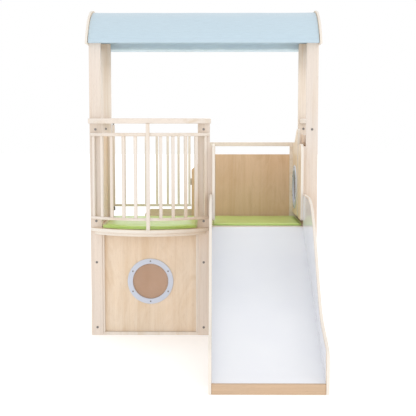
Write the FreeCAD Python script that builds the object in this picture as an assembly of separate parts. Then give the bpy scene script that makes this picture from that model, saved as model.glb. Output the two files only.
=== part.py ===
import FreeCAD, Part
import math
import os

# Toddler play loft with a slide: two bays side by side on six posts, a bow-fronted
# balcony on the left, a slide from the right bay, a fabric roof over both and steps
# with a small gate at the back.
#
# Millimetres.  Build frame: X to the right, Y from front to back, Z up.  X = 0 is the
# middle posts, Y = 0 is the front faces of the front posts, Z = 0 is the floor.  On
# export everything is moved along Y so that the origin is the middle of the footprint.

# ---- driving dimensions -------------------------------------------------------------
BAY = 587.5                 # post centre to post centre
POST_WIDTH = 63.0
POST_THICK = 28.0
DEPTH = 512.0               # front faces of the front posts to rear faces of the rear ones
TALL_POST_TOP = 1636.0
PLY = 18.0                  # thickness of structural plywood
THIN_PLY = 12.0
EDGE = 2.0                  # eased edge of every board

FLOOR_TOP = 600.0           # standing height of the platforms
BEARER_DROP = 60.0
HANDRAIL_LOW = 1167.0
HANDRAIL_THICK = 28.0
BALUSTRADE_TOP = 1117.0
SIDE_PANEL_TOP = 1103.0
BOLT_LEVELS = (45.0, 408.0, 636.0, 1136.0)

BOW_SAGITTA = 134.0         # how far the balcony floor stands out in front of the posts
SLAT_OFFSETS = (67.0, 132.0, 198.0, 253.0, 303.0)

PORTHOLE_BORE = 196.0       # clear view through the ring
PORTHOLE_RING = 252.0       # ring outside diameter
PORTHOLE_HEIGHT = 300.0

ROOF_CREST = 1788.0
ROOF_SKIRT = 1596.0         # lower edge of the fabric, front and back
ROOF_OVERHANG = 50.0        # beyond the posts, front and back
FABRIC = 5.0

SLIDE_WIDTH = 522.0         # over the side boards
SLIDE_REACH = 1115.0        # in front of the posts
SLIDE_SIDE = 13.0
SLIDE_START = 606.0         # height of the sitting end
SLIDE_SLOPE = math.radians(27.6)
SLIDE_SIDE_TOP = 785.0

GUARD_PLY = 15.0            # grab boards and porthole wing beside the slide's mouth

MAT_THICK = 19.0
MAT_SETBACK = 24.0          # right mat's front edge, behind the slide's lip
STEP_COUNT = 3
STEP_GOING = 100.0          # each tread's step back from the one above it

# ---- worked-out dimensions ----------------------------------------------------------
HALF_POST = POST_WIDTH / 2
OUTER_FACE = BAY + HALF_POST            # outside faces of the corner posts
INNER_FACE = BAY - HALF_POST            # their inside faces
REAR_PLANE = DEPTH - POST_THICK         # front faces of the rear posts
PANEL_INNER = BAY - PLY / 2             # inside face of a side panel
FLOOR_BOTTOM = FLOOR_TOP - PLY
LEFT_CENTRE = -BAY / 2
RIGHT_CENTRE = BAY / 2
APRON_BOTTOM = FLOOR_BOTTOM - PLY

HALF_CHORD = (OUTER_FACE + HALF_POST) / 2
BOW_RADIUS = (HALF_CHORD ** 2 + BOW_SAGITTA ** 2) / (2 * BOW_SAGITTA)
BOW_CENTRE_Y = BOW_RADIUS - BOW_SAGITTA

ROOF_MID_Y = DEPTH / 2
ROOF_RISE = ROOF_CREST - ROOF_SKIRT
ROOF_HALF = DEPTH / 2 + ROOF_OVERHANG
ROOF_RADIUS = (ROOF_HALF ** 2 + ROOF_RISE ** 2) / (2 * ROOF_RISE)
ROOF_CENTRE_Z = ROOF_CREST - ROOF_RADIUS

SLIDE_X0 = RIGHT_CENTRE - SLIDE_WIDTH / 2
SLIDE_X1 = SLIDE_X0 + SLIDE_WIDTH
BED_X0 = SLIDE_X0 + SLIDE_SIDE
BED_X1 = SLIDE_X1 - SLIDE_SIDE
GUARD_GAP = BED_X0 - HALF_POST + 0.3    # from a post to the board that stands inside the slide

STEP_RISE = FLOOR_TOP / (STEP_COUNT + 1)
STEP_BACK = DEPTH + STEP_COUNT * STEP_GOING
ORIGIN_Y = (STEP_BACK - SLIDE_REACH) / 2

NODES = {}


def put(name, *solids):
    """File solids under a node name."""
    NODES.setdefault(name, []).extend(solids)


# ---- shape helpers ------------------------------------------------------------------
def block(x0, x1, y0, y1, z0, z1):
    """Plain box between two corners."""
    return Part.makeBox(x1 - x0, y1 - y0, z1 - z0, FreeCAD.Vector(x0, y0, z0))


def board(x0, x1, y0, y1, z0, z1, ease=EDGE):
    """Box with all its edges eased."""
    box = block(x0, x1, y0, y1, z0, z1)
    return box.makeFillet(ease, box.Edges)


def rod(radius, length, start, axis):
    """Round bar from a point along an axis."""
    return Part.makeCylinder(radius, length, FreeCAD.Vector(*start), FreeCAD.Vector(*axis))


def rounded_edges(corners, closed):
    """Lines and tangent arcs in the YZ plane through (y, z, radius) corners."""
    count = len(corners)
    points = [FreeCAD.Vector(0, y, z) for y, z, _ in corners]
    entries, exits = list(points), list(points)
    arcs = [None] * count
    for index in range(count):
        radius = corners[index][2]
        if radius <= 0 or (not closed and index in (0, count - 1)):
            continue
        corner = points[index]
        back = (points[index - 1] - corner).normalize()
        ahead = (points[(index + 1) % count] - corner).normalize()
        half = back.getAngle(ahead) / 2
        reach = radius / math.tan(half)
        middle = (back + ahead).normalize() * (radius / math.sin(half) - radius)
        entries[index] = corner + back * reach
        exits[index] = corner + ahead * reach
        arcs[index] = Part.Arc(entries[index], corner + middle, exits[index]).toShape()
    edges = []
    for index in range(count):
        if arcs[index]:
            edges.append(arcs[index])
        following = index + 1
        if following == count and not closed:
            break
        target = entries[following % count]
        if exits[index].distanceToPoint(target) > 0.01:
            edges.append(Part.LineSegment(exits[index], target).toShape())
    return edges


def side_plate(corners, x0, x1):
    """Plate between two X planes with a rounded YZ outline."""
    face = Part.Face(Part.Wire(rounded_edges(corners, True)))
    face.translate(FreeCAD.Vector(x0, 0, 0))
    return face.extrude(FreeCAD.Vector(x1 - x0, 0, 0))


def bow_band(inner, outer, z0, z1, y_back=0.0):
    """Curved board of the balcony between two radii, cut off at y_back."""
    centre = FreeCAD.Vector(LEFT_CENTRE, BOW_CENTRE_Y, z0)
    ring = Part.makeCylinder(outer, z1 - z0, centre)
    if inner > 0:
        ring = ring.cut(Part.makeCylinder(inner, z1 - z0, centre))
    keep = block(-BAY * 2, BAY, -BOW_RADIUS * 2, y_back, z0, z1)
    return ring.common(keep).Solids[0]


def bow_point(offset, radius):
    """Place and turn of a bar at a distance along the chord, on a radius."""
    turn = math.asin(offset / radius)
    y = BOW_CENTRE_Y - radius * math.cos(turn)
    return LEFT_CENTRE + offset, y, math.degrees(turn)


def turned_bar(offset, radius, width, depth, z0, z1):
    """Upright bar that faces out of the bow."""
    x, y, turn = bow_point(offset, radius)
    bar = board(-width / 2, width / 2, -depth / 2, depth / 2, z0, z1, 1.5)
    bar.rotate(FreeCAD.Vector(0, 0, 0), FreeCAD.Vector(0, 0, 1), turn)
    bar.translate(FreeCAD.Vector(x, y, 0))
    return bar


# ---- posts --------------------------------------------------------------------------
def posts():
    for side, x in (("left", -BAY), ("right", BAY)):
        for row, y in (("front", 0.0), ("rear", REAR_PLANE)):
            put(f"post_{row}_{side}",
                board(x - HALF_POST, x + HALF_POST, y, y + POST_THICK, 0, TALL_POST_TOP))
    for row, y in (("front", 0.0), ("rear", REAR_PLANE)):
        put(f"post_{row}_middle",
            board(-HALF_POST, HALF_POST, y, y + POST_THICK, 0, HANDRAIL_LOW))


# ---- roof ---------------------------------------------------------------------------
def roof_outline(radius, z_low, x):
    """Segment of a circle in a YZ plane, closed by its chord."""
    half = math.sqrt(radius ** 2 - (z_low - ROOF_CENTRE_Z) ** 2)
    front = FreeCAD.Vector(x, ROOF_MID_Y - half, z_low)
    top = FreeCAD.Vector(x, ROOF_MID_Y, ROOF_CENTRE_Z + radius)
    back = FreeCAD.Vector(x, ROOF_MID_Y + half, z_low)
    arc = Part.Arc(front, top, back).toShape()
    return Part.Face(Part.Wire([arc, Part.LineSegment(back, front).toShape()]))


def roof():
    gable_rise = 9.0
    for name, x in (("roof_gable_left", -OUTER_FACE - THIN_PLY), ("roof_gable_right", OUTER_FACE)):
        face = roof_outline(ROOF_RADIUS + gable_rise, ROOF_SKIRT - 6, x)
        plate = face.extrude(FreeCAD.Vector(THIN_PLY, 0, 0))
        put(name, plate.makeFillet(EDGE, plate.Edges))
    reach = OUTER_FACE - 0.4
    outside = roof_outline(ROOF_RADIUS, ROOF_SKIRT, -reach).extrude(FreeCAD.Vector(2 * reach, 0, 0))
    inside = roof_outline(ROOF_RADIUS - FABRIC, ROOF_SKIRT, -reach)
    inside = inside.extrude(FreeCAD.Vector(2 * reach, 0, 0))
    put("canopy", outside.cut(inside).Solids[0])
    rail_radius = 14.0
    hang = ROOF_RADIUS - FABRIC - rail_radius - 0.6
    for angle in (-59, -30, 0, 30, 59):
        y = ROOF_MID_Y + hang * math.sin(math.radians(angle))
        z = ROOF_CENTRE_Z + hang * math.cos(math.radians(angle))
        put("roof_rails", rod(rail_radius, 2 * OUTER_FACE, (-OUTER_FACE, y, z), (1, 0, 0)))


# ---- sides, bearers and floors ------------------------------------------------------
def sides():
    rail_half = 22.5
    for side, sign in (("left", -1), ("right", 1)):
        x = sign * BAY
        put(f"side_panel_{side}", board(x - PLY / 2, x + PLY / 2, POST_THICK, REAR_PLANE,
                                        0, SIDE_PANEL_TOP))
        put("side_rails", board(x - rail_half, x + rail_half, POST_THICK, REAR_PLANE,
                                HANDRAIL_LOW, HANDRAIL_LOW + HANDRAIL_THICK, 3.0))


def bearers():
    low, high = FLOOR_BOTTOM - BEARER_DROP, FLOOR_BOTTOM
    for x0 in (-PANEL_INNER, PANEL_INNER - PLY, -PLY / 2):
        put("side_bearers", board(x0, x0 + PLY, POST_THICK, REAR_PLANE, low, high))
    rear = REAR_PLANE + POST_THICK - PLY
    front_left = POST_THICK + THIN_PLY
    put("cross_bearers", board(-INNER_FACE, -HALF_POST, front_left - PLY + 8, front_left + 8, low, high))
    put("cross_bearers", board(HALF_POST, INNER_FACE, 0, PLY, low, high))
    put("cross_bearers", board(-INNER_FACE, -HALF_POST, rear, rear + PLY, low, high))
    put("cross_bearers", board(HALF_POST, INNER_FACE, rear, rear + PLY, low, high))


def floors():
    left = block(-INNER_FACE, -HALF_POST, -1, DEPTH, FLOOR_BOTTOM, FLOOR_TOP)
    left = left.fuse(block(-PANEL_INNER, 0, POST_THICK, REAR_PLANE, FLOOR_BOTTOM, FLOOR_TOP))
    left = left.fuse(bow_band(0, BOW_RADIUS, FLOOR_BOTTOM, FLOOR_TOP)).removeSplitter()
    put("floor_left", left.Solids[0])
    right = block(HALF_POST, INNER_FACE, 0, DEPTH, FLOOR_BOTTOM, FLOOR_TOP)
    right = right.fuse(block(0, PANEL_INNER, POST_THICK, REAR_PLANE, FLOOR_BOTTOM, FLOOR_TOP))
    put("floor_right", right.removeSplitter().Solids[0])
    put("balcony_apron", bow_band(0, BOW_RADIUS - 14, APRON_BOTTOM, FLOOR_BOTTOM))


# ---- balcony ------------------------------------------------------------------------
def balcony():
    middle = BOW_RADIUS - 8
    rail_half = 9.0
    handrail = bow_band(BOW_RADIUS - 42, BOW_RADIUS + 6, HANDRAIL_LOW, HANDRAIL_LOW + HANDRAIL_THICK)
    saddle = block(-HALF_POST, HALF_POST, -8, POST_THICK, HANDRAIL_LOW, HANDRAIL_LOW + HANDRAIL_THICK)
    handrail = handrail.fuse(saddle).removeSplitter().Solids[0]
    curved = [edge for edge in handrail.Edges if edge.CenterOfMass.y < -BOW_SAGITTA / 2]
    put("handrail", handrail.makeFillet(4.0, curved))
    for name, z0, z1 in (("balustrade_top_rail", BALUSTRADE_TOP - 17, BALUSTRADE_TOP),
                         ("balustrade_bottom_rail", 650.0, 664.0)):
        put(name, bow_band(middle - rail_half, middle + rail_half, z0, z1))
    for offset in SLAT_OFFSETS:
        for sign in (-1, 1):
            put("balustrade_slats",
                turned_bar(sign * offset, middle, 17.0, 11.0, 664.0, BALUSTRADE_TOP - 17))
    put("balcony_strut", turned_bar(0, middle + rail_half + 5, 20.0, 10.0, FLOOR_TOP, HANDRAIL_LOW))


# ---- balcony gate, with its jamb, latch post and threshold --------------------------
def gate():
    y0, y1 = REAR_PLANE + 4, REAR_PLANE + 20
    pitch = 64.7
    hinge_x = -INNER_FACE + 12.0
    rail_end = -80.0
    low, high = 672.0, 1112.0
    put("gate_hinge_stile", board(hinge_x - 7.5, hinge_x + 7.5, y0, y1, low, 1160.0))
    for z0 in (low, high - 14):
        put("gate_rails", board(hinge_x + 7.5, rail_end, y0, y1, z0, z0 + 14))
    for index in range(1, 8):
        x = hinge_x + index * pitch
        put("gate_bars", board(x - 7, x + 7, y0 + 3, y1 - 3, low + 14, high - 14, 1.5))
    # Hinge pins stand in the hinge stile's ends; their brackets are on the rear post.
    for z0, z1 in ((low - 24, low - 6), (1166.0, 1184.0)):
        bracket = board(-INNER_FACE, hinge_x + 7, y0 + 1, y1 - 1, z0, z1, 1.0)
        bore = rod(4.2, z1 - z0 + 2, (hinge_x, (y0 + y1) / 2, z0 - 1), (0, 0, 1))
        put("gate_hinge_brackets", bracket.cut(bore))
    for z0, z1 in ((low - 24, low), (1160.0, 1184.0)):
        put("gate_hinge_pins", rod(4.15, z1 - z0, (hinge_x, (y0 + y1) / 2, z0), (0, 0, 1)))
    # The latch post stands beside the rear middle post and has a sloping top.
    post_x = rail_end + 2.0
    face = Part.Face(Part.makePolygon([FreeCAD.Vector(x, REAR_PLANE, z) for x, z in (
        (post_x, FLOOR_TOP), (-HALF_POST, FLOOR_TOP), (-HALF_POST, 936.0), (post_x, 893.0),
        (post_x, FLOOR_TOP))]))
    latch_post = face.extrude(FreeCAD.Vector(0, y1 + 0.5 - REAR_PLANE, 0))
    put("gate_latch_post", latch_post.makeFillet(EDGE, latch_post.Edges))
    put("gate_stop_plate", board(post_x - 18, post_x + 24, y1 + 0.5, y1 + 4.5, 800.0, 840.0, 1.0))
    threshold = board(-360.0, post_x, DEPTH - THIN_PLY, DEPTH, FLOOR_TOP, 656.0)
    corner = block(-361.0, -360.0 + 46, DEPTH - PLY, DEPTH + 1, 656.0 - 46, 657.0)
    quarter = Part.makeCylinder(46, PLY + 1, FreeCAD.Vector(-360.0 + 46, DEPTH + 1, 656.0 - 46),
                                FreeCAD.Vector(0, -1, 0))
    put("gate_threshold", threshold.cut(corner.cut(quarter)).Solids[0])


# ---- portholes ----------------------------------------------------------------------
def porthole_panel_bore(solid, centre, axis):
    """Cut the hole that the two rings cover."""
    back = [c - a * 40 for c, a in zip(centre, axis)]
    return solid.cut(rod(PORTHOLE_BORE / 2 + 6, 80, back, axis))


def porthole(names, centre, axis, half_panel):
    """Rings on both faces, a clear pane between them, and six screws in each ring."""
    ring_thick = 5.0
    pane_half = 2.0
    normal = FreeCAD.Vector(*axis)
    middle = FreeCAD.Vector(*centre)
    start = middle - normal * pane_half
    put(names["pane"], Part.makeCylinder(PORTHOLE_BORE / 2 + 5.5, 2 * pane_half, start, normal))
    for sign in (-1, 1):
        out = normal * sign
        base = middle + out * half_panel
        ring = Part.makeCylinder(PORTHOLE_RING / 2, ring_thick, base, out)
        ring = ring.makeFillet(2.0, [e for e in ring.Edges if e.CenterOfMass.sub(base).Length > 1])
        lip = Part.makeCylinder(PORTHOLE_BORE / 2 + 5.5, half_panel - pane_half, base, out * -1)
        bore = Part.makeCylinder(PORTHOLE_BORE / 2, 60, base - out * 30, out)
        put(names["ring"], ring.fuse(lip).cut(bore).removeSplitter().Solids[0])
        across = normal.cross(FreeCAD.Vector(0, 0, 1))
        for index in range(6):
            angle = math.radians(90 + 60 * index)
            spread = across * math.cos(angle) + FreeCAD.Vector(0, 0, 1) * math.sin(angle)
            seat = base + spread * ((PORTHOLE_RING + PORTHOLE_BORE) / 4) + out * ring_thick
            head = Part.makeCylinder(4.0, 1.6, seat, out)
            put("porthole_screws", head.makeFillet(0.7, [head.Edges[0]]))


# ---- den under the balcony ----------------------------------------------------------
def den():
    face_y = 18.0
    jamb = 11.0
    panel = board(-INNER_FACE, -HALF_POST, face_y, face_y + THIN_PLY, PLY, APRON_BOTTOM + 14)
    centre = (LEFT_CENTRE, face_y + THIN_PLY / 2, PORTHOLE_HEIGHT)
    put("den_front_panel", porthole_panel_bore(panel, centre, (0, 1, 0)))
    porthole({"ring": "den_porthole_rings", "pane": "den_porthole_pane"},
             centre, (0, 1, 0), THIN_PLY / 2)
    for x0 in (-INNER_FACE, -HALF_POST - jamb):
        put("den_opening_frame", board(x0, x0 + jamb, 3, face_y, PLY, APRON_BOTTOM))
    put("den_opening_frame", board(-INNER_FACE, -HALF_POST, 2, face_y + THIN_PLY, 0, PLY))
    put("den_rear_panel", board(-INNER_FACE, -HALF_POST, REAR_PLANE - 2, REAR_PLANE + 10 - EDGE,
                                0, FLOOR_BOTTOM - BEARER_DROP))


# ---- slide bay ----------------------------------------------------------------------
def slide_bay():
    y0, y1 = REAR_PLANE + 2, REAR_PLANE + 2 + PLY
    rail_top = 1056.0
    stile_left, stile_right = HALF_POST + 32, INNER_FACE - 48.5
    put("rear_frame", board(HALF_POST, stile_left, y0, y1, FLOOR_TOP, rail_top))
    put("rear_frame", board(stile_right, INNER_FACE, y0, y1, FLOOR_TOP, rail_top))
    put("rear_panel", board(stile_left, stile_right, y0 + 2, y0 + 2 + THIN_PLY, FLOOR_TOP, 985.0))
    put("rear_frame", board(stile_left, stile_right, y0, y1, 1033.0, rail_top))

    low, front, back = 641.0, -25.0, 145.0
    outline = [(back, low, 18), (front, low, 18), (front, 1055.0, 44), (back, 1055.0, 60)]
    guards = (("guard_left", HALF_POST + GUARD_GAP, HALF_POST),
              ("guard_right", INNER_FACE - GUARD_GAP - GUARD_PLY, INNER_FACE - GUARD_GAP))
    for name, x0, spacer_x in guards:
        plate = side_plate(outline, x0, x0 + GUARD_PLY)
        put(name, plate.makeFillet(EDGE, plate.Edges))
        put("spacer_blocks", block(spacer_x, spacer_x + GUARD_GAP, 1, POST_THICK - 1, 782.0, 1044.0))

    x0 = INNER_FACE - GUARD_GAP - GUARD_PLY
    wing_front, wing_back = 200.0, y0
    wing = side_plate([(wing_back, low, 0), (wing_front, low, 12), (wing_front, 1136.0, 10),
                       (wing_front + 45, 1136.0, 60), (wing_back - 100, rail_top, 90),
                       (wing_back, rail_top, 0)], x0, x0 + GUARD_PLY)
    wing = wing.makeFillet(EDGE, wing.Edges)
    centre = (x0 + GUARD_PLY / 2, (wing_front + wing_back) / 2, 800.0)
    put("wing_panel", porthole_panel_bore(wing, centre, (1, 0, 0)))
    porthole({"ring": "wing_porthole_rings", "pane": "wing_porthole_pane"},
             centre, (1, 0, 0), GUARD_PLY / 2)
    cleat_x = x0 + GUARD_PLY
    for z in (655.0, 985.0):
        put("spacer_blocks", board(cleat_x, PANEL_INNER, wing_back - 40, wing_back - 4, z, z + 60))


# ---- slide --------------------------------------------------------------------------
def bed_corners(drop):
    """The bed's line from the posts down to the end board, lowered by drop."""
    end_y = -SLIDE_REACH + 22
    crest_y = -12.0
    toe_y = -1025.0
    toe_z = SLIDE_START - (crest_y - toe_y) * math.tan(SLIDE_SLOPE)
    return [(-1.0, SLIDE_START - drop, 0), (crest_y, SLIDE_START - drop, 40),
            (toe_y, toe_z - drop, 400), (end_y, 46.0 - drop, 0)]


def bed_sheet(top, thickness, x0, x1):
    """Sheet that follows the bed, from a depth below its surface."""
    upper = rounded_edges(bed_corners(top), False)
    lower = rounded_edges(bed_corners(top + thickness), False)
    ends = []
    for index in (0, -1):
        y, z, _ = bed_corners(top)[index]
        ends.append(Part.LineSegment(FreeCAD.Vector(0, y, z),
                                     FreeCAD.Vector(0, y, z - thickness)).toShape())
    face = Part.Face(Part.Wire(Part.__sortEdges__(upper + lower + ends)))
    face.translate(FreeCAD.Vector(x0, 0, 0))
    return face.extrude(FreeCAD.Vector(x1 - x0, 0, 0))


def slide_side_corners(inset):
    """Outline of a side board; inset draws it in all round its upper edge."""
    reach = -SLIDE_REACH
    back = 0.0 if inset == 0 else -28.0
    return [(back, SLIDE_SIDE_TOP - inset, 6), (-414.0 + inset / 2, SLIDE_SIDE_TOP - inset, 375),
            (-839.0 + inset / 2, 286.0 - inset, 300), (reach + inset, 190.0 - inset, 42),
            (reach + inset, 0.0, 6), (-1010.0, 0.0, 40), (-75.0, 474.0, 60), (back, 474.0, 4)]


def slide():
    laminate = 3.0
    base = 15.0
    for name, x0 in (("slide_side_left", SLIDE_X0), ("slide_side_right", SLIDE_X1 - SLIDE_SIDE)):
        plate = side_plate(slide_side_corners(0), x0, x0 + SLIDE_SIDE)
        put(name, plate.makeFillet(EDGE, plate.Edges))
    liner = 1.2
    put("slide_bed", bed_sheet(0, laminate, BED_X0, BED_X1))
    put("slide_base_board", bed_sheet(laminate, base, BED_X0, BED_X1))
    above = bed_sheet(-600, 600 - 0.01, BED_X0 - 50, BED_X1 + 50)
    for x0 in (BED_X0, BED_X1 - liner):
        sheet = side_plate(slide_side_corners(5), x0, x0 + liner)
        put("slide_liners", sheet.common(above).Solids[0])
    put("slide_end_board", board(BED_X0, BED_X1, -SLIDE_REACH + 4, -SLIDE_REACH + 22, 0, 46, 2.5))
    size = 34.0
    for along in (230.0, 560.0, 890.0):
        y = -12.0 - along * math.cos(SLIDE_SLOPE)
        z = SLIDE_START - along * math.sin(SLIDE_SLOPE)
        batten = board(BED_X0, BED_X1, -size / 2, size / 2, -size, 0)
        batten.rotate(FreeCAD.Vector(0, 0, 0), FreeCAD.Vector(1, 0, 0), math.degrees(SLIDE_SLOPE))
        drop = (laminate + base) * math.cos(SLIDE_SLOPE) + 0.1
        batten.translate(FreeCAD.Vector(0, y + drop * math.sin(SLIDE_SLOPE),
                                        z - drop * math.cos(SLIDE_SLOPE)))
        put("slide_battens", batten)
    put("slide_hook_board", board(BED_X0, BED_X1, -PLY, 0, 496.0, FLOOR_BOTTOM - 2),
        board(BED_X0, BED_X1, 0, 20, FLOOR_TOP, SLIDE_START + 3, 2.0))


# ---- mats ---------------------------------------------------------------------------
def soft(solid, radius):
    return solid.makeFillet(radius, solid.Edges)


def mats():
    top = FLOOR_TOP + MAT_THICK
    inset = 6.0
    seam = -22.0
    put("mat_left", soft(block(-INNER_FACE + inset, -HALF_POST - inset, seam + 1, REAR_PLANE - 4,
                               FLOOR_TOP, top), 5.0))
    bow = bow_band(0, BOW_RADIUS - 26, FLOOR_TOP, top, seam)
    trim = block(-INNER_FACE + inset, -HALF_POST - inset, -BOW_RADIUS, seam, FLOOR_TOP, top)
    put("mat_bow", bow.common(trim).Solids[0])
    put("mat_right", soft(block(BED_X0 + 1, BED_X1 - 1, MAT_SETBACK, REAR_PLANE - 2, FLOOR_TOP, top), 5.0))


# ---- rear steps ---------------------------------------------------------------------
def steps():
    x0, x1 = -INNER_FACE + 30, -HALF_POST - 30
    slope = [(DEPTH, 0.0, 0), (STEP_BACK, 0.0, 6), (STEP_BACK, STEP_RISE + 30, 26),
             (DEPTH + 40, FLOOR_TOP - 18, 40), (DEPTH, FLOOR_TOP - 18, 0)]
    for x in (x0, x1 - PLY):
        put("step_stringers", side_plate(slope, x, x + PLY))
    for index in range(STEP_COUNT):
        back = STEP_BACK - index * STEP_GOING
        front = max(back - STEP_GOING - 50, DEPTH + 2)
        z = (index + 1) * STEP_RISE
        put("step_treads", board(x0 + PLY, x1 - PLY, front, back - 8, z - PLY, z, 3.0))


# ---- bolts --------------------------------------------------------------------------
def bolts():
    """Socket-headed bolts that tie each post to the boards behind or in front of it."""
    head, rise, socket = 6.5, 2.2, 2.6
    top_level = BOLT_LEVELS[-1]
    for x in (-BAY, 0.0, BAY):
        for z in BOLT_LEVELS:
            for y, out in ((0.0, -1), (REAR_PLANE, -1), (DEPTH, 1)):
                behind_slide = y == 0.0 and x == BAY and z < top_level
                inside = y == REAR_PLANE and (z < top_level or x == 0.0)
                if behind_slide or inside:
                    continue
                cap = rod(head, rise, (x, y, z), (0, out, 0))
                cap = cap.makeFillet(0.9, [e for e in cap.Edges if abs(e.CenterOfMass.y - y) > 1])
                cap = cap.cut(rod(socket, 1.5, (x, y + out * (rise - 1.5), z), (0, out, 0)))
                put("frame_bolts", cap)


for build in (posts, roof, sides, bearers, floors, balcony, gate, den, slide_bay,
              slide, mats, steps, bolts):
    build()

os.makedirs("parts", exist_ok=True)
for name, solids in NODES.items():
    shape = solids[0] if len(solids) == 1 else Part.makeCompound(solids)
    shape.translate(FreeCAD.Vector(0, -ORIGIN_Y, 0))
    shape.exportStep(f"parts/{name}.step")
    low, high = shape.BoundBox, shape.BoundBox
    print(f"{name:24s} {len(solids):3d} valid={shape.isValid()} "
          f"x {low.XMin:7.1f} {high.XMax:7.1f}  y {low.YMin:7.1f} {high.YMax:7.1f}  "
          f"z {low.ZMin:7.1f} {high.ZMax:7.1f}")
print(len(NODES), "nodes")
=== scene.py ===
import math

import bpy
from bpy.props import FloatProperty, FloatVectorProperty, IntProperty, PointerProperty
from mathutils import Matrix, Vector


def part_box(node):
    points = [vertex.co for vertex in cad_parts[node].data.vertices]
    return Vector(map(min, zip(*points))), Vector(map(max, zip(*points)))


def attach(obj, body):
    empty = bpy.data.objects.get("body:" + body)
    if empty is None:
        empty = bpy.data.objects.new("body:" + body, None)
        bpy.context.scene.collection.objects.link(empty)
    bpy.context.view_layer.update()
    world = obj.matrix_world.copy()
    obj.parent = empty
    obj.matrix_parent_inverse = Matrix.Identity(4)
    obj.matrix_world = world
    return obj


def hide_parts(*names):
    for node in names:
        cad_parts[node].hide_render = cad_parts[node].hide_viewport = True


bl_info = {
    "name": "Toddler Play Loft",
    "version": (1, 0, 0),
    "blender": (4, 5, 0),
    "location": "View3D > Sidebar > Play Loft",
    "description": "Builds the roof cloth, mats, eased boards and finishes of a play loft",
    "category": "Add Mesh",
}

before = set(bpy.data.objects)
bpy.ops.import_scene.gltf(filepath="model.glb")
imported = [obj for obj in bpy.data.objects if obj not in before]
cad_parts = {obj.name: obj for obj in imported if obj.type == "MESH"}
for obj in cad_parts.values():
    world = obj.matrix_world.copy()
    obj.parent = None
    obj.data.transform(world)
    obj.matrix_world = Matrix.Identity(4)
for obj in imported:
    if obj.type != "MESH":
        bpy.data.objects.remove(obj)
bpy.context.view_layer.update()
AXES = {"X": 0, "Y": 1, "Z": 2}

LOW_RAIL = math.radians(59)          # angle of the lowest roof rails from the crest
RAIL_DROP = 0.0196                   # centre of a roof rail below the full arch
SHEET_THICK = 0.0012                 # roof canvas
TRIM_THICK = 0.0007                  # its hems and pockets
STITCH_PITCH = 0.0055
MAT_INSET = 0.003                    # start shape inside the space a mat has
MAT_VOXEL = 0.0055
WELT_SETBACK = 0.0045                # welt centres from a mat's top and underside
CAMERA_PLACE = (0.0584, -4.8054, 1.1671)
CAMERA_TILT = 5.294                  # degrees down
CAMERA_TURN = 0.401                  # degrees to the left
LIT_SPOT = Vector((0.0, -0.2, 0.7))  # what the key and the fill point at


# ---- sizes and colours that a user would change --------------------------------------
class LoftWoodProps(bpy.types.PropertyGroup):
    birch: FloatVectorProperty(name="Birch", description="Light tone of the solid birch",
                               subtype="COLOR", size=3, min=0, max=1, default=(0.755, 0.668, 0.592))
    pale: FloatVectorProperty(name="Pale birch", description="Tone of the rails, bars and strips",
                              subtype="COLOR", size=3, min=0, max=1, default=(0.785, 0.715, 0.645))
    ply: FloatVectorProperty(name="Plywood", description="Light tone of the plywood faces",
                             subtype="COLOR", size=3, min=0, max=1, default=(0.80, 0.67, 0.53))
    # The rear panel's own redder veneer, darkened further as painted shade for the shade inside the loft;
    # the gate's latch post takes this tone too, as painted shade on its inner face.
    rear_tone_and_painted_shade: FloatVectorProperty(name="Rear panel", description="Tone of the redder panel at the back",
                                subtype="COLOR", size=3, min=0, max=1, default=(0.68, 0.475, 0.315))
    # Warmer copy of the plywood tone: painted warm shade, set so the side panels' inner faces, which lie
    # in shade, come out warm tan.
    inner: FloatVectorProperty(name="Side panels", description="Tone of the tall side panels",
                               subtype="COLOR", size=3, min=0, max=1, default=(0.83, 0.665, 0.52))
    pine: FloatVectorProperty(name="End board", description="Tone of the board at the slide's foot",
                              subtype="COLOR", size=3, min=0, max=1, default=(0.60, 0.425, 0.28))
    ease: FloatProperty(name="Eased edge", description="Rounding of the curved boards' edges",
                        subtype="DISTANCE", unit="LENGTH", default=0.002, min=0.0005, max=0.005)
    veneer: FloatProperty(name="Veneer", description="Thickness of one layer of the plywood",
                          subtype="DISTANCE", unit="LENGTH", default=0.0015, min=0.0005, max=0.004)


class LoftRoofProps(bpy.types.PropertyGroup):
    cloth: FloatVectorProperty(name="Cloth", description="Colour of the roof canvas",
                               subtype="COLOR", size=3, min=0, max=1, default=(0.53, 0.655, 0.735))
    lining: FloatVectorProperty(name="Lining", description="Colour of the rail pockets",
                                subtype="COLOR", size=3, min=0, max=1, default=(0.66, 0.80, 0.90))
    sag: FloatProperty(name="Sag", description="How far the cloth sinks between two roof rails",
                       subtype="DISTANCE", unit="LENGTH", default=0.004, min=0, max=0.02)
    hem: FloatProperty(name="Hem", description="Width of the turned hem",
                       subtype="DISTANCE", unit="LENGTH", default=0.024, min=0.01, max=0.05)
    thread: FloatProperty(name="Thread", description="Pitch of the canvas weave",
                          subtype="DISTANCE", unit="LENGTH", default=0.0011, min=0.0004, max=0.003)


class LoftMatProps(bpy.types.PropertyGroup):
    cover: FloatVectorProperty(name="Cover", description="Colour of the mat covers",
                               subtype="COLOR", size=3, min=0, max=1, default=(0.55, 0.75, 0.20))
    pressure: FloatProperty(name="Pressure", description="Fill pressure while the cover is settled",
                            default=4.0, min=0, max=20)
    frames: IntProperty(name="Frames", description="Frames that the cover settles for",
                        default=20, min=2, max=60)
    swell: FloatProperty(name="Swell", description="Most that the cover may move",
                         subtype="DISTANCE", unit="LENGTH", default=0.004, min=0, max=0.02)
    piping: FloatProperty(name="Piping", description="Radius of the welt round each mat",
                          subtype="DISTANCE", unit="LENGTH", default=0.0022, min=0.001, max=0.005)


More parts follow.
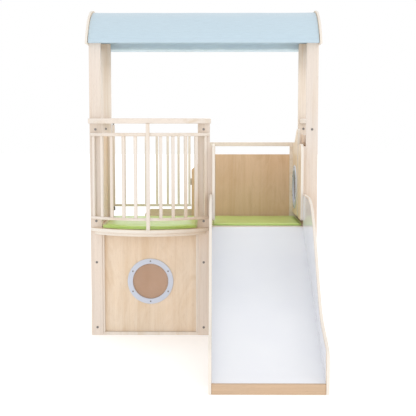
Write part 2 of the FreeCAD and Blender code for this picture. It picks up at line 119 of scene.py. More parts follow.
class LoftStageProps(bpy.types.PropertyGroup):
    floor: FloatVectorProperty(name="Floor", description="Colour of the floor",
                               subtype="COLOR", size=3, min=0, max=1, default=(0.90, 0.90, 0.90))
    glow: FloatProperty(name="Floor glow", description="Light that comes up through the floor",
                        default=0.28, min=0, max=2)
    lens: FloatProperty(name="Lens", description="Focal length on a 36 mm sensor",
                        default=78.85, min=20, max=200)
    key: FloatProperty(name="Key light", description="Power of the light at the front right",
                       subtype="POWER", unit="POWER", default=28.0, min=0, max=2000)
    fill: FloatProperty(name="Fill light", description="Power of the wide light in front",
                        subtype="POWER", unit="POWER", default=32.0, min=0, max=2000)
    bounce: FloatProperty(name="Bounce", description="Power of the light under the roof",
                          subtype="POWER", unit="POWER", default=2.4, min=0, max=100)
    sky: FloatProperty(name="Sky", description="Strength of the even white light all round",
                       default=1.02, min=0, max=3)


# ---- object helpers ------------------------------------------------------------------
def deselect():
    bpy.ops.object.select_all(action="DESELECT")


def activate(piece):
    deselect()
    piece.select_set(True)
    bpy.context.view_layer.objects.active = piece


def edit_all(piece):
    """Enter edit mode with everything selected."""
    activate(piece)
    bpy.ops.object.mode_set(mode="EDIT")
    bpy.ops.mesh.select_all(action="SELECT")


def leave_edit():
    bpy.ops.object.mode_set(mode="OBJECT")


def apply_modifiers(piece):
    activate(piece)
    for modifier in list(piece.modifiers):
        bpy.ops.object.modifier_apply(modifier=modifier.name)


def apply_place(piece):
    activate(piece)
    bpy.ops.object.transform_apply(location=True, rotation=True, scale=True)


def shade(piece, degrees=35.0):
    activate(piece)
    bpy.ops.object.shade_smooth_by_angle(angle=math.radians(degrees))


def bevel(piece, width, segments=2, limit=35.0):
    modifier = piece.modifiers.new("ease", "BEVEL")
    modifier.width = width
    modifier.segments = segments
    modifier.limit_method = "ANGLE"
    modifier.angle_limit = math.radians(limit)


def finish_piece(piece, material, body, slot, *nodes):
    """Give a piece its finish and its body, and hide the CAD nodes it stands for. The slot argument is
    not used.
    """
    piece.data.materials.clear()
    piece.data.materials.append(material)
    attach(piece, body)
    if nodes:
        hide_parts(*nodes)


def mesh_object(name, points, faces):
    mesh = bpy.data.meshes.new(name)
    mesh.from_pydata(points, [], faces)
    piece = bpy.data.objects.new(name, mesh)
    bpy.context.scene.collection.objects.link(piece)
    return piece


def join(name, pieces):
    activate(pieces[0])
    for piece in pieces[1:]:
        piece.select_set(True)
    if len(pieces) > 1:
        bpy.ops.object.join()
    pieces[0].name = name
    pieces[0].data.name = name
    return pieces[0]


# ---- material helpers ----------------------------------------------------------------
def new_material(name):
    """Material with its tree and its surface shader."""
    material = bpy.data.materials.new(name)
    material.use_nodes = True
    tree = material.node_tree
    return material, tree, tree.nodes["Principled BSDF"]


def add(tree, kind, settings=None, **inputs):
    """New node with its settings and input values; a socket as a value is linked."""
    node = tree.nodes.new(kind)
    for key, value in (settings or {}).items():
        setattr(node, key, value)
    for key, value in inputs.items():
        socket = node.inputs[int(key[1:])] if key[0] == "i" and key[1:].isdigit() else \
            node.inputs[key.replace("_", " ")]
        if isinstance(value, bpy.types.NodeSocket):
            tree.links.new(value, socket)
        else:
            socket.default_value = value
    return node


def coordinates(tree, scale, source="Object"):
    texture = tree.nodes.new("ShaderNodeTexCoord")
    return add(tree, "ShaderNodeMapping", Vector=texture.outputs[source], Scale=scale).outputs[0]


def ramp(tree, factor, stops):
    """Colour ramp from a list of (position, colour)."""
    node = add(tree, "ShaderNodeValToRGB", Fac=factor)
    elements = node.color_ramp.elements
    while len(elements) < len(stops):
        elements.new(0.5)
    for element, (position, colour) in zip(elements, stops):
        element.position = position
        element.color = (*colour, 1.0)
    return node.outputs[0]


def grey(value):
    return (value, value, value)


def noise(tree, vector, detail, roughness, distortion=0.0):
    node = add(tree, "ShaderNodeTexNoise", Vector=vector, Scale=1.0, Detail=detail,
               Roughness=roughness, Distortion=distortion)
    return node.outputs["Fac"]


def mixed(tree, mode, factor, first, second):
    node = tree.nodes.new("ShaderNodeMix")
    node.data_type = "RGBA"
    node.blend_type = mode
    for index, value in ((0, factor), (6, first), (7, second)):
        if isinstance(value, bpy.types.NodeSocket):
            tree.links.new(value, node.inputs[index])
        else:
            node.inputs[index].default_value = value
    return node.outputs[2]


def maths(tree, operation, first, second=0.5):
    node = tree.nodes.new("ShaderNodeMath")
    node.operation = operation
    for index, value in ((0, first), (1, second)):
        if isinstance(value, bpy.types.NodeSocket):
            tree.links.new(value, node.inputs[index])
        else:
            node.inputs[index].default_value = value
    return node.outputs[0]


def bump(tree, shader, height, strength, distance):
    node = add(tree, "ShaderNodeBump", Height=height, Strength=strength, Distance=distance)
    tree.links.new(node.outputs[0], shader.inputs["Normal"])


def scaled(colour, factor):
    return tuple(min(1.0, channel * factor) for channel in colour)


# ---- wood ----------------------------------------------------------------------------
def grain(tree, axis, light, figure):
    """Birch grain along an axis: flame, fine lines, pores and a slow change of tone."""
    along, across = 0.9, 22.0
    stretch = [across] * 3
    stretch[AXES[axis]] = along
    flame = noise(tree, coordinates(tree, stretch), 7.0, 0.62, 0.7)
    dark = (light[0] * 0.90, light[1] * 0.84, light[2] * 0.75)
    colour = ramp(tree, flame, [(0.30, dark), (0.50, scaled(light, 0.985)), (0.72, scaled(light, 1.04))])
    lines = [260.0] * 3
    lines[AXES[axis]] = 3.0
    fine = noise(tree, coordinates(tree, lines), 3.0, 0.6)
    fine_tone = ramp(tree, fine, [(0.34, grey(0.86)), (0.56, grey(1.0))])
    colour = mixed(tree, "MULTIPLY", 0.5 * figure, colour, fine_tone)
    pores = [900.0] * 3
    pores[AXES[axis]] = 45.0
    pore = noise(tree, coordinates(tree, pores), 1.0, 0.5)
    pore_tone = ramp(tree, pore, [(0.26, (0.62, 0.50, 0.40)), (0.36, grey(1.0))])
    colour = mixed(tree, "MULTIPLY", 0.35, colour, pore_tone)
    slow = noise(tree, coordinates(tree, (2.3, 2.3, 2.3)), 2.0, 0.5)
    slow_tone = ramp(tree, slow, [(0.35, (1.0, 0.965, 0.93)), (0.65, (0.975, 0.985, 1.0))])
    colour = mixed(tree, "MULTIPLY", 0.8, colour, slow_tone)
    return colour, fine


def wood_surface(tree, shader, colour, height, rough):
    tree.links.new(colour, shader.inputs["Base Color"])
    polish = ramp(tree, height, [(0.3, grey(rough + 0.08)), (0.7, grey(rough))])
    tree.links.new(polish, shader.inputs["Roughness"])
    shader.inputs["Coat Weight"].default_value = 0.06
    shader.inputs["Coat Roughness"].default_value = 0.30
    bump(tree, shader, height, 0.10, 0.0006)


def solid_birch(axis, light, name=None):
    material, tree, shader = new_material(name or f"solid_birch_{axis.lower()}")
    colour, height = grain(tree, axis, light, 1.0)
    wood_surface(tree, shader, colour, height, 0.46)
    return material


def birch_plywood(thick, axis, light, veneer, name=None):
    """Rotary-cut faces, and layered edges where the surface turns away from the faces; the edges' pale
    layers carry a painted highlight.
    """
    material, tree, shader = new_material(name or f"birch_plywood_{thick.lower()}{axis.lower()}")
    face, height = grain(tree, axis, light, 0.45)
    swirl = [8.0] * 3
    swirl[AXES[axis]] = 3.2
    cloud = noise(tree, coordinates(tree, swirl), 5.0, 0.55, 1.6)
    cloud_tone = ramp(tree, cloud, [(0.34, (0.90, 0.85, 0.78)), (0.50, grey(1.0)),
                                    (0.66, (0.96, 0.93, 0.88))])
    face = mixed(tree, "MULTIPLY", 0.75, face, cloud_tone)
    place = tree.nodes.new("ShaderNodeTexCoord")
    where = add(tree, "ShaderNodeSeparateXYZ", Vector=place.outputs["Object"])
    turn = maths(tree, "MULTIPLY", where.outputs[AXES[thick]], math.pi / veneer)
    layers = maths(tree, "SINE", turn)
    # Edge layers: the dark layers are the plywood's own; the pale layers are raised as a painted
    # highlight for the light the edges catch.
    layers_and_painted_highlight = ramp(tree, maths(tree, "MULTIPLY_ADD", layers, 0.5),
                      [(0.18, (0.70, 0.60, 0.48)), (0.40, (0.88, 0.82, 0.75)), (1.0, (0.91, 0.87, 0.82))])
    layers_and_painted_highlight = mixed(tree, "MULTIPLY", 0.4, layers_and_painted_highlight,
                       ramp(tree, height, [(0.3, grey(0.8)), (0.7, grey(1.0))]))
    normal = add(tree, "ShaderNodeSeparateXYZ", Vector=place.outputs["Normal"])
    facing = maths(tree, "ABSOLUTE", normal.outputs[AXES[thick]])
    is_face = maths(tree, "GREATER_THAN", facing, 0.75)
    colour = mixed(tree, "MIX", is_face, layers_and_painted_highlight, face)
    wood_surface(tree, shader, colour, height, 0.42)
    return material


# ---- other finishes ------------------------------------------------------------------
def white_laminate():
    material, tree, shader = new_material("white_laminate")
    cloud = noise(tree, coordinates(tree, (5.0, 5.0, 5.0)), 3.0, 0.5)
    colour = ramp(tree, cloud, [(0.3, (0.785, 0.795, 0.835)), (0.7, (0.810, 0.820, 0.850))])
    tree.links.new(colour, shader.inputs["Base Color"])
    streaks = noise(tree, coordinates(tree, (60.0, 2.0, 2.0)), 4.0, 0.6)
    tree.links.new(ramp(tree, streaks, [(0.3, grey(0.15)), (0.75, grey(0.22))]),
                   shader.inputs["Roughness"])
    shader.inputs["Coat Weight"].default_value = 0.2
    shader.inputs["Coat Roughness"].default_value = 0.08
    peel = noise(tree, coordinates(tree, (320.0, 320.0, 320.0)), 2.0, 0.5)
    bump(tree, shader, peel, 0.04, 0.0004)
    return material


def canvas(colour, thread, name="roof_canvas"):
    """Plain weave drawn on the cloth's own map, with slubs, a slow fade and painted shade where the weave
    lies low.
    """
    material, tree, shader = new_material(name)
    uv = tree.nodes.new("ShaderNodeTexCoord").outputs["UV"]
    where = add(tree, "ShaderNodeSeparateXYZ", Vector=uv)
    step = math.pi / thread
    warp = maths(tree, "SINE", maths(tree, "MULTIPLY", where.outputs[0], step))
    weft = maths(tree, "SINE", maths(tree, "MULTIPLY", where.outputs[1], step))
    weave = maths(tree, "MULTIPLY_ADD", maths(tree, "MULTIPLY", warp, weft), 0.5)
    slub = noise(tree, coordinates(tree, (18.0, 420.0, 1.0), "UV"), 3.0, 0.6)
    slub_tone = ramp(tree, slub, [(0.30, scaled(colour, 0.93)), (0.62, scaled(colour, 1.03))])
    # Painted shade: the cloth is darker where the weave lies low.
    weave_painted_shade = ramp(tree, weave, [(0.0, grey(0.90)), (0.6, grey(1.0))])
    tone = mixed(tree, "MULTIPLY", 0.8, slub_tone, weave_painted_shade)
    fade = noise(tree, coordinates(tree, (3.0, 5.0, 1.0), "UV"), 2.0, 0.5)
    fade_tone = ramp(tree, fade, [(0.3, (0.965, 0.975, 0.985)), (0.7, grey(1.0))])
    tone = mixed(tree, "MULTIPLY", 0.6, tone, fade_tone)
    tree.links.new(tone, shader.inputs["Base Color"])
    shader.inputs["Roughness"].default_value = 0.82
    shader.inputs["Sheen Weight"].default_value = 0.25
    shader.inputs["Sheen Roughness"].default_value = 0.5
    bump(tree, shader, maths(tree, "ADD", weave, maths(tree, "MULTIPLY", slub, 0.6)), 0.35, 0.0004)
    return material


def sewing_thread():
    material, tree, shader = new_material("sewing_thread")
    twist = noise(tree, coordinates(tree, (2600.0, 900.0, 900.0)), 2.0, 0.5)
    colour = ramp(tree, twist, [(0.3, (0.50, 0.62, 0.70)), (0.7, (0.66, 0.77, 0.84))])
    tree.links.new(colour, shader.inputs["Base Color"])
    shader.inputs["Roughness"].default_value = 0.6
    bump(tree, shader, twist, 0.2, 0.0002)
    return material


def mat_cover(colour):
    """Coated cover with a fine pebbled grain and painted shade in the creases between the pebbles."""
    material, tree, shader = new_material("mat_cover")
    cloud = noise(tree, coordinates(tree, (9.0, 9.0, 9.0)), 4.0, 0.55)
    tone = ramp(tree, cloud, [(0.30, scaled(colour, 0.93)), (0.70, scaled(colour, 1.05))])
    pebble = add(tree, "ShaderNodeTexVoronoi", {"feature": "SMOOTH_F1"},
                 Vector=coordinates(tree, (620.0, 620.0, 620.0)), Scale=1.0).outputs["Distance"]
    # Painted shade: the cover darkens in the creases between the pebbles.
    crease = ramp(tree, pebble, [(0.35, grey(1.0)), (0.75, grey(0.86))])
    tone = mixed(tree, "MULTIPLY", 0.7, tone, crease)
    tree.links.new(tone, shader.inputs["Base Color"])
    tree.links.new(ramp(tree, pebble, [(0.2, grey(0.38)), (0.8, grey(0.50))]),
                   shader.inputs["Roughness"])
    shader.inputs["Coat Weight"].default_value = 1.0
    shader.inputs["Coat Roughness"].default_value = 0.36
    soft = noise(tree, coordinates(tree, (70.0, 70.0, 70.0)), 3.0, 0.5)
    height = maths(tree, "SUBTRACT", maths(tree, "MULTIPLY", soft, 2.0), pebble)
    bump(tree, shader, height, 0.30, 0.0006)
    return material


def moulded_plastic():
    material, tree, shader = new_material("ring_plastic")
    speck = noise(tree, coordinates(tree, (500.0, 500.0, 500.0)), 2.0, 0.5)
    colour = ramp(tree, speck, [(0.3, (0.545, 0.590, 0.700)), (0.7, (0.600, 0.645, 0.750))])
    tree.links.new(colour, shader.inputs["Base Color"])
    tree.links.new(ramp(tree, speck, [(0.3, grey(0.36)), (0.7, grey(0.48))]),
                   shader.inputs["Roughness"])
    bump(tree, shader, speck, 0.06, 0.0004)
    return material


def acrylic_painted_interior():
    material, tree, shader = new_material("acrylic_painted_interior")
    smear = noise(tree, coordinates(tree, (12.0, 12.0, 12.0)), 4.0, 0.6)
    # The warm brown is painted: it stands for the shaded brown inside of the loft seen through the pane.
    tree.links.new(ramp(tree, smear, [(0.3, (0.62, 0.40, 0.28)), (0.7, (0.70, 0.47, 0.34))]),
                   shader.inputs["Base Color"])
    tree.links.new(ramp(tree, smear, [(0.3, grey(0.03)), (0.7, grey(0.09))]),
                   shader.inputs["Roughness"])
    shader.inputs["Alpha"].default_value = 0.42
    return material


def zinc_steel():
    material, tree, shader = new_material("zinc_steel")
    wear = noise(tree, coordinates(tree, (240.0, 240.0, 240.0)), 4.0, 0.6)
    colour = ramp(tree, wear, [(0.3, (0.15, 0.14, 0.13)), (0.7, (0.27, 0.255, 0.245))])
    tree.links.new(colour, shader.inputs["Base Color"])
    shader.inputs["Metallic"].default_value = 0.85
    tree.links.new(ramp(tree, wear, [(0.3, grey(0.30)), (0.7, grey(0.45))]),
                   shader.inputs["Roughness"])
    bump(tree, shader, wear, 0.08, 0.0003)
    return material


FINISHES = {}


def finish_named(key):
    """Finish by name, made once."""
    if key not in FINISHES:
        wood = bpy.context.scene.loft_wood
        makers = {
            "laminate": white_laminate,
            "plastic": moulded_plastic,
            "acrylic": acrylic_painted_interior,
            "steel": zinc_steel,
            "thread": sewing_thread,
            "cover": lambda: mat_cover(tuple(bpy.context.scene.loft_mats.cover)),
            "canvas": lambda: canvas(tuple(bpy.context.scene.loft_roof.cloth),
                                     bpy.context.scene.loft_roof.thread),
            "lining": lambda: canvas(tuple(bpy.context.scene.loft_roof.lining),
                                     bpy.context.scene.loft_roof.thread, "pocket_lining"),
        }
        if key in makers:
            FINISHES[key] = makers[key]()
        elif key.startswith("birch"):
            FINISHES[key] = solid_birch(key[-1], tuple(wood.birch))
        elif key.startswith("pale"):
            FINISHES[key] = solid_birch(key[-1], tuple(wood.pale), f"pale_birch_{key[-1].lower()}")
        elif key.startswith("pine"):
            FINISHES[key] = solid_birch(key[-1], tuple(wood.pine), "foot_board_wood")
        # Side panels: plywood in a warmer tone that paints the warm colour of their shaded inner faces.
        elif key.startswith("side"):
            FINISHES[key] = birch_plywood(key[-2], key[-1], tuple(wood.inner), wood.veneer,
                                          "side_panel_wood_painted_shade")
        # Rear tone: the rear panel's redder veneer with painted shade, also put on the latch post as
        # painted shade.
        elif key.startswith("rear"):
            FINISHES[key] = birch_plywood(key[-2], key[-1], tuple(wood.rear_tone_and_painted_shade), wood.veneer,
                                          "rear_panel_wood_and_painted_shade")
        else:
            FINISHES[key] = birch_plywood(key[-2], key[-1], tuple(wood.ply), wood.veneer)
    return FINISHES[key]


CARRIED = {
    "birch_Z": ["post_front_left", "post_front_right", "post_rear_left", "post_rear_right",
                "post_front_middle", "post_rear_middle", "gate_hinge_stile", "spacer_blocks"],
    "birch_X": ["roof_rails", "rear_frame", "slide_battens", "cross_bearers"],
    "pale_Z": ["balustrade_slats", "balcony_strut", "gate_bars", "den_opening_frame"],
    "pale_X": ["handrail", "gate_rails"],
    "birch_Y": ["side_rails", "side_bearers"],
    "ply_XY": ["roof_gable_left", "roof_gable_right", "slide_side_left", "slide_side_right"],
    # The side panels take the warmer plywood tone as painted warm shade on their inner faces.
    "side_XZ": ["side_panel_left", "side_panel_right"],
    "ply_XZ": ["guard_left", "guard_right", "wing_panel",
               "step_stringers", "gate_stop_plate"],
    "pine_X": ["slide_end_board"],
    # Painted shade: the rear panel's redder veneer darkened for its shade, and the latch post darkened
    # for the shade on its inner face.
    "rear_YZ": ["rear_panel", "gate_latch_post"],
    "ply_YZ": ["den_front_panel", "den_rear_panel"],
    "ply_YX": ["gate_threshold", "slide_hook_board"],
    "ply_ZX": ["floor_right", "step_treads"],
    "ply_ZY": ["slide_base_board"],
    "laminate": ["slide_bed", "slide_liners"],
    "plastic": ["den_porthole_rings", "wing_porthole_rings"],
    "acrylic": ["den_porthole_pane", "wing_porthole_pane"],
    "steel": ["frame_bolts", "porthole_screws", "gate_hinge_pins", "gate_hinge_brackets"],
}


# ---- operators -----------------------------------------------------------------------
class LOFT_OT_carried_finishes(bpy.types.Operator):
    """Finish every board, panel and fitting that comes with the frame"""
    bl_idname = "loft.carried_finishes"
    bl_label = "Finish Boards and Fittings"

    def execute(self, context):
        for key, nodes in CARRIED.items():
            for node in nodes:
                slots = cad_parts[node].material_slots
                for index in range(len(slots)):
                    slots[index].material = finish_named(key)
        return {"FINISHED"}


class LOFT_OT_eased_boards(bpy.types.Operator):
    """Give the balcony's curved boards their rounded edges"""
    bl_idname = "loft.eased_boards"
    bl_label = "Curved Boards"

    def execute(self, context):
        ease = context.scene.loft_wood.ease
        for node, key, slot in (("floor_left", "ply_ZX", "birch_ply"),
                                ("balcony_apron", "ply_ZX", "birch_ply"),
                                ("balustrade_top_rail", "pale_X", "birch_solid"),
                                ("balustrade_bottom_rail", "pale_X", "birch_solid")):
            piece = bpy.data.objects.new(f"{node}_eased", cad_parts[node].data.copy())
            context.scene.collection.objects.link(piece)
            edit_all(piece)
            bpy.ops.mesh.remove_doubles(threshold=0.00002)
            bpy.ops.mesh.dissolve_limited(angle_limit=math.radians(1.0))
            leave_edit()
            bevel(piece, ease)
            apply_modifiers(piece)
            shade(piece)
            finish_piece(piece, finish_named(key), "loft", slot, node)
        return {"FINISHED"}


def cloth_grid(name, columns, rows, place, size, thickness):
    """Sheet whose points come from place(u, v), mapped flat at its cut size."""
    points = [place(column / columns, row / rows)
              for row in range(rows + 1) for column in range(columns + 1)]
    line = columns + 1
    faces = [(a, a + 1, a + line + 1, a + line)
             for row in range(rows) for a in range(row * line, row * line + columns)]
    piece = mesh_object(name, points, faces)
    uv = piece.data.uv_layers.new(name="cloth")
    for loop in piece.data.loops:
        row, column = divmod(loop.vertex_index, line)
        uv.data[loop.index].uv = (size[0] * column / columns, size[1] * row / rows)
    solid = piece.modifiers.new("cloth", "SOLIDIFY")
    solid.thickness = thickness
    solid.offset = -1.0
    apply_modifiers(piece)
    shade(piece, 60)
    return piece


def stitches(name, places, size):
    """Short raised threads, each on its own place with its own three directions."""
    points, faces = [], []
    for centre, along, out in places:
        side = along.cross(out)
        start = len(points)
        for a, b in ((-1, 0), (-0.6, 1), (0.6, 1), (1, 0)):
            for c in (-1, 1):
                points.append(centre + along * (a * size[0]) + out * (b * size[2])
                              + side * (c * size[1]))
        faces += [tuple(start + n for n in quad) for quad in
                  ((0, 1, 3, 2), (2, 3, 5, 4), (4, 5, 7, 6), (1, 0, 6, 7), (0, 2, 4, 6),
                   (1, 7, 5, 3))]
    piece = mesh_object(name, points, faces)
    edit_all(piece)
    bpy.ops.mesh.normals_make_consistent(inside=False)
    leave_edit()
    return piece


class LOFT_OT_canopy(bpy.types.Operator):
    """Stretch one sheet of canvas over the roof rails, with hems and rail pockets"""
    bl_idname = "loft.canopy"
    bl_label = "Canopy"

    def execute(self, context):
        roof = context.scene.loft_roof
        low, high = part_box("canopy")
        half = (high[1] - low[1]) / 2
        rise = high[2] - low[2]
        radius = (half ** 2 + rise ** 2) / (2 * rise)
        middle_y = (low[1] + high[1]) / 2
        centre_z = high[2] - radius
        reach = math.asin(half / radius)
        length = 2 * reach * radius
        width = high[0] - low[0] - 0.004
        rails = [-LOW_RAIL, math.radians(-30), 0.0, math.radians(30), LOW_RAIL]

        def depth(x, angle):
            """How far the cloth lies below the full arch: sag, drawn ends and slight waves."""
            for start, end in zip(rails, rails[1:]):
                if start <= angle <= end:
                    part = math.sin(math.pi * (angle - start) / (end - start))
                    break
            else:
                part = 0.0
            ends = math.exp(-(width / 2 - abs(x)) / 0.045)
            drawn = 0.0008 * ends * math.sin(angle * 52 + x * 9)
            wave = 0.0008 * math.sin(x * 21 + 2.0 * math.sin(angle * 5)) * part
            return 0.0014 + roof.sag * part ** 2 * (1 - (2 * x / width) ** 8) + drawn + wave

        def arch(x, angle, lift=0.0):
            r = radius - depth(x, angle) + lift
            return Vector((x, middle_y + r * math.sin(angle), centre_z + r * math.cos(angle)))

        def across(u):
            return -width / 2 + width * u

        sheet = cloth_grid("roof_canopy", 160, 112,
                           lambda u, v: arch(across(u), -reach + 2 * reach * v),
                           (width, length), SHEET_THICK)
        hems, pockets, threads = [], [], []
        hem = roof.hem / radius
        pocket = reach - LOW_RAIL
        hang = radius - RAIL_DROP
        for side in (-1, 1):
            hems.append(cloth_grid(
                "hem", 160, 8,
                lambda u, v: arch(across(u) * side, side * (reach - hem * v),
                                  0.0004 + 0.0008 * math.sin(math.pi * min(1.0, v + 0.25))),
                (width, roof.hem), TRIM_THICK))

            def sleeve(u, v):
                """Pocket of cloth round a rail, closed on the sheet above and below it."""
                x = across(u) * -side
                angle = side * LOW_RAIL
                outward = Vector((0, math.sin(angle), math.cos(angle)))
                upward = Vector((0, -side * math.cos(angle), side * math.sin(angle)))
                t = (2 * v - 1) * pocket * radius
                crease = 0.0042 * math.sin(x * 27 + 2.1 * math.sin(x * 11) + 2.4 * v) \
                    + 0.0016 * math.sin(x * 83 + v * 5)
                belly = math.cos(math.pi * (2 * v - 1) / 2) ** 2
                r = 0.0152 - (0.0348 + crease * 0.5) * belly
                centre = Vector((x, middle_y + hang * math.sin(angle),
                                 centre_z + hang * math.cos(angle)))
                return centre + outward * r + upward * t

            pockets.append(cloth_grid("pocket", 160, 18, sleeve, (width, 0.075), TRIM_THICK))
            for angle in (reach - 0.8 * hem, reach - 2 * pocket):
                count = int(width / STITCH_PITCH)
                for number in range(count):
                    x = across((number + 0.5) / count)
                    out = Vector((0, math.sin(side * angle), math.cos(angle)))
                    threads.append((arch(x, side * angle, 0.0012 if angle > 1.0 else 0.0),
                                    Vector((1, 0, 0)), out))
        trim, lining = join("canopy_hems", hems), join("canopy_rail_pockets", pockets)
        thread = stitches("canopy_stitching", threads, (0.0019, 0.0004, 0.0005))
        for piece, finish in ((sheet, "canvas"), (trim, "canvas"), (lining, "lining"),
                              (thread, "thread")):
            finish_piece(piece, finish_named(finish), "loft", "roof_fabric")
        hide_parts("canopy")
        return {"FINISHED"}


def settle(piece, pressure, frames, swell):
    """Blow the cover up a little with cloth, and keep every point within the swell."""
    before = [vertex.co.copy() for vertex in piece.data.vertices]
    cloth = piece.modifiers.new("cloth", "CLOTH")
    cloth.settings.use_pressure = True
    cloth.settings.uniform_pressure_force = pressure
    cloth.settings.effector_weights.gravity = 0.0
    cloth.settings.quality = 4
    cloth.point_cache.frame_start = 1
    cloth.point_cache.frame_end = frames
    for number in range(1, frames + 1):
        bpy.context.scene.frame_set(number)
    apply_modifiers(piece)
    bpy.context.scene.frame_set(1)
    for vertex, start in zip(piece.data.vertices, before):
        move = vertex.co - start
        if move.length > swell:
            vertex.co = start + move * (swell / move.length)


def remesh(piece, size):
    modifier = piece.modifiers.new("remesh", "REMESH")
    modifier.mode = "VOXEL"
    modifier.voxel_size = size
    apply_modifiers(piece)


def piping(name, outline, height, radius):
    """Welt that follows a closed outline at a height."""
    curve = bpy.data.curves.new(name, "CURVE")
    curve.dimensions = "3D"
    curve.bevel_depth = radius
    curve.bevel_resolution = 3
    spline = curve.splines.new("POLY")
    spline.points.add(len(outline) - 1)
    for point, (x, y) in zip(spline.points, outline):
        point.co = (x, y, height, 1.0)
    spline.use_cyclic_u = True
    welt = bpy.data.objects.new(name, curve)
    bpy.context.scene.collection.objects.link(welt)
    activate(welt)
    bpy.ops.object.convert(target="MESH")
    return bpy.context.view_layer.objects.active


def rounded_outline(corners, radius, steps):
    """Closed outline with rounded corners, and long sides divided."""
    outline = []
    count = len(corners)
    for index, corner in enumerate(corners):
        here = Vector(corner)
        back = Vector(corners[index - 1]) - here
        ahead = Vector(corners[(index + 1) % count]) - here
        reach = min(radius, back.length * 0.45, ahead.length * 0.45)
        start, end = here + back.normalized() * reach, here + ahead.normalized() * reach
        for step in range(steps + 1):
            t = step / steps
            outline.append(tuple(start * (1 - t) ** 2 + here * 2 * t * (1 - t) + end * t ** 2))
    return outline


def slab(name, outline, low, high):
    """Closed slab on an outline."""
    count = len(outline)
    points = [(x, y, low) for x, y in outline] + [(x, y, high) for x, y in outline]
    faces = [tuple(range(count))[::-1], tuple(range(count, 2 * count))]
    faces += [(i, (i + 1) % count, (i + 1) % count + count, i + count) for i in range(count)]
    return mesh_object(name, points, faces)


class LOFT_OT_mats(bpy.types.Operator):
    """Make the three foam mats in their covers"""
    bl_idname = "loft.mats"
    bl_label = "Mats"

    def execute(self, context):
        props = context.scene.loft_mats
        for node in ("mat_left", "mat_bow", "mat_right"):
            low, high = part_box(node)
            x0, x1 = low[0] + MAT_INSET, high[0] - MAT_INSET
            y0, y1 = low[1] + MAT_INSET, high[1] - MAT_INSET
            corners = [(x0, y0), (x1, y0), (x1, y1), (x0, y1)]
            if node == "mat_bow":
                corners = self.bow_corners(x0, x1, y0, y1)
            radius, steps = (0.014, 7) if len(corners) == 4 else (0.004, 2)
            outline = rounded_outline(corners, radius, steps)
            pad = slab(f"{node}_cushion", outline, low[2] + 0.0015, high[2] - 0.003)
            bevel(pad, 0.005, 3, 50)
            apply_modifiers(pad)
            remesh(pad, MAT_VOXEL)
            settle(pad, props.pressure, props.frames, props.swell)
            self.keep_inside(pad, low, high)
            pad.modifiers.new("smooth", "SUBSURF").levels = 1
            pad.modifiers["smooth"].render_levels = 1
            apply_modifiers(pad)
            shade(pad, 60)
            welts = [piping("welt", outline, level, props.piping)
                     for level in (low[2] + WELT_SETBACK, high[2] - WELT_SETBACK)]
            welt = join(f"{node}_piping", welts)
            shade(welt, 60)
            for piece in (pad, welt):
                finish_piece(piece, finish_named("cover"), "loft", "mat_cover")
            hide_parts(node)
        return {"FINISHED"}

    @staticmethod
    def bow_corners(x0, x1, y0, y1):
        """Outline of the bow mat: a straight back and a round front."""
        half = (x1 - x0) / 2
        floor_low, floor_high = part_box("balcony_apron")
        chord = (floor_high[0] - floor_low[0]) / 2
        sagitta = floor_high[1] - floor_low[1]
        bow_radius = (chord ** 2 + sagitta ** 2) / (2 * sagitta)
        centre_y = floor_low[1] + bow_radius
        radius = centre_y - y0
        centre_x = (x0 + x1) / 2
        steps = 28
        front = []
        for step in range(steps + 1):
            x = -half + 2 * half * step / steps
            front.append((centre_x + x, centre_y - math.sqrt(radius ** 2 - x ** 2)))
        return front + [(x1, y1), (x0, y1)]

    @staticmethod
    def keep_inside(pad, low, high):
        """Keep the cover within the mat's plan, and just clear of the floor under it."""
        for vertex in pad.data.vertices:
            vertex.co.x = min(max(vertex.co.x, low[0]), high[0])
            vertex.co.y = min(max(vertex.co.y, low[1]), high[1])
            vertex.co.z = max(vertex.co.z, low[2] + 0.0003)


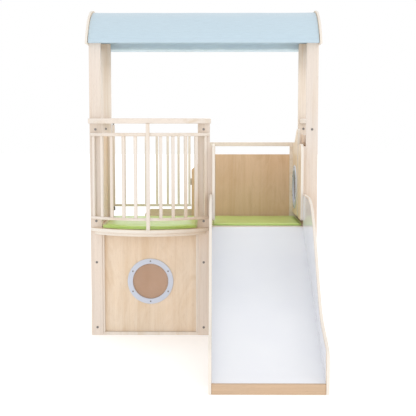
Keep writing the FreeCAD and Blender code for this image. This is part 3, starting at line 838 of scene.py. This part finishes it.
class LOFT_OT_stage(bpy.types.Operator):
    """Set the pale floor, the soft lights and the camera"""
    bl_idname = "loft.stage"
    bl_label = "Stage"

    def execute(self, context):
        stage = context.scene.loft_stage
        self.backdrop(stage)
        self.lights(context, stage)
        self.camera(context, stage)
        context.scene.view_settings.view_transform = "Standard"
        return {"FINISHED"}

    @staticmethod
    def backdrop(stage):
        deselect()
        bpy.ops.mesh.primitive_plane_add(size=60.0, location=(0, 0, 0))
        floor = bpy.context.view_layer.objects.active
        floor.name = "stage_floor"
        apply_place(floor)
        material, tree, shader = new_material("stage_floor")
        tone = noise(tree, coordinates(tree, (1.2, 1.2, 1.2)), 2.0, 0.5)
        colour = ramp(tree, tone, [(0.3, scaled(stage.floor, 0.995)), (0.7, tuple(stage.floor))])
        tree.links.new(colour, shader.inputs["Base Color"])
        shader.inputs["Roughness"].default_value = 0.9
        shader.inputs["Specular IOR Level"].default_value = 0.1
        shader.inputs["Emission Color"].default_value = (1.0, 1.0, 1.0, 1.0)
        shader.inputs["Emission Strength"].default_value = stage.glow
        floor.data.materials.append(material)

    @staticmethod
    def lights(context, stage):
        """Even white all round, a key at the front right, a wide fill and a bounce."""
        world = bpy.data.worlds.new("soft_white")
        world.use_nodes = True
        tree = world.node_tree
        background = tree.nodes["Background"]
        background.inputs["Color"].default_value = (1.0, 1.0, 1.0, 1.0)
        seen = tree.nodes.new("ShaderNodeLightPath").outputs["Is Camera Ray"]
        level = add(tree, "ShaderNodeMapRange", Value=seen, To_Min=stage.sky, To_Max=1.0)
        tree.links.new(level.outputs[0], background.inputs["Strength"])
        context.scene.world = world
        for name, place, size, power in (("key", Vector((4.5, -3.1, 3.3)), 2.6, stage.key),
                                         ("fill", Vector((-1.2, -6.5, 1.6)), 3.2, stage.fill)):
            light = bpy.data.lights.new(name, "AREA")
            light.size = size
            light.energy = power
            lamp = bpy.data.objects.new(name, light)
            lamp.location = place
            lamp.rotation_euler = (LIT_SPOT - place).to_track_quat("-Z", "Y").to_euler()
            context.scene.collection.objects.link(lamp)
        bounce = bpy.data.lights.new("bounce", "AREA")
        bounce.shape = "RECTANGLE"
        bounce.size, bounce.size_y = 1.0, 0.36
        bounce.energy = stage.bounce
        lamp = bpy.data.objects.new("bounce", bounce)
        lamp.location = (0.0, 0.38, 1.52)
        lamp.visible_camera = False
        lamp.visible_glossy = False
        context.scene.collection.objects.link(lamp)

    @staticmethod
    def camera(context, stage):
        lens = bpy.data.cameras.new("front")
        lens.sensor_width = 36.0
        lens.lens = stage.lens
        lens.clip_end = 100.0
        view = bpy.data.objects.new("front", lens)
        view.location = CAMERA_PLACE
        view.rotation_euler = (math.radians(90.0 - CAMERA_TILT), 0.0, math.radians(CAMERA_TURN))
        context.scene.collection.objects.link(view)
        context.scene.camera = view


class LOFT_PT_panel(bpy.types.Panel):
    """Buttons that build the loft, in their order"""
    bl_idname = "LOFT_PT_panel"
    bl_label = "Play Loft"
    bl_space_type = "VIEW_3D"
    bl_region_type = "UI"
    bl_category = "Play Loft"

    def draw(self, context):
        for operator in OPERATORS:
            self.layout.operator(operator.bl_idname)


OPERATORS = (LOFT_OT_carried_finishes, LOFT_OT_eased_boards, LOFT_OT_canopy, LOFT_OT_mats,
             LOFT_OT_stage)
GROUPS = {"loft_wood": LoftWoodProps, "loft_roof": LoftRoofProps, "loft_mats": LoftMatProps,
          "loft_stage": LoftStageProps}
CLASSES = (*GROUPS.values(), *OPERATORS, LOFT_PT_panel)


def register():
    for cls in CLASSES:
        bpy.utils.register_class(cls)
    for name, group in GROUPS.items():
        setattr(bpy.types.Scene, name, PointerProperty(type=group))


def unregister():
    for name in GROUPS:
        delattr(bpy.types.Scene, name)
    for cls in reversed(CLASSES):
        bpy.utils.unregister_class(cls)


def main():
    register()
    bpy.ops.loft.carried_finishes()
    bpy.ops.loft.eased_boards()
    bpy.ops.loft.canopy()
    bpy.ops.loft.mats()
    bpy.ops.loft.stage()
    bpy.context.view_layer.update()


if __name__ == "__main__":
    main()
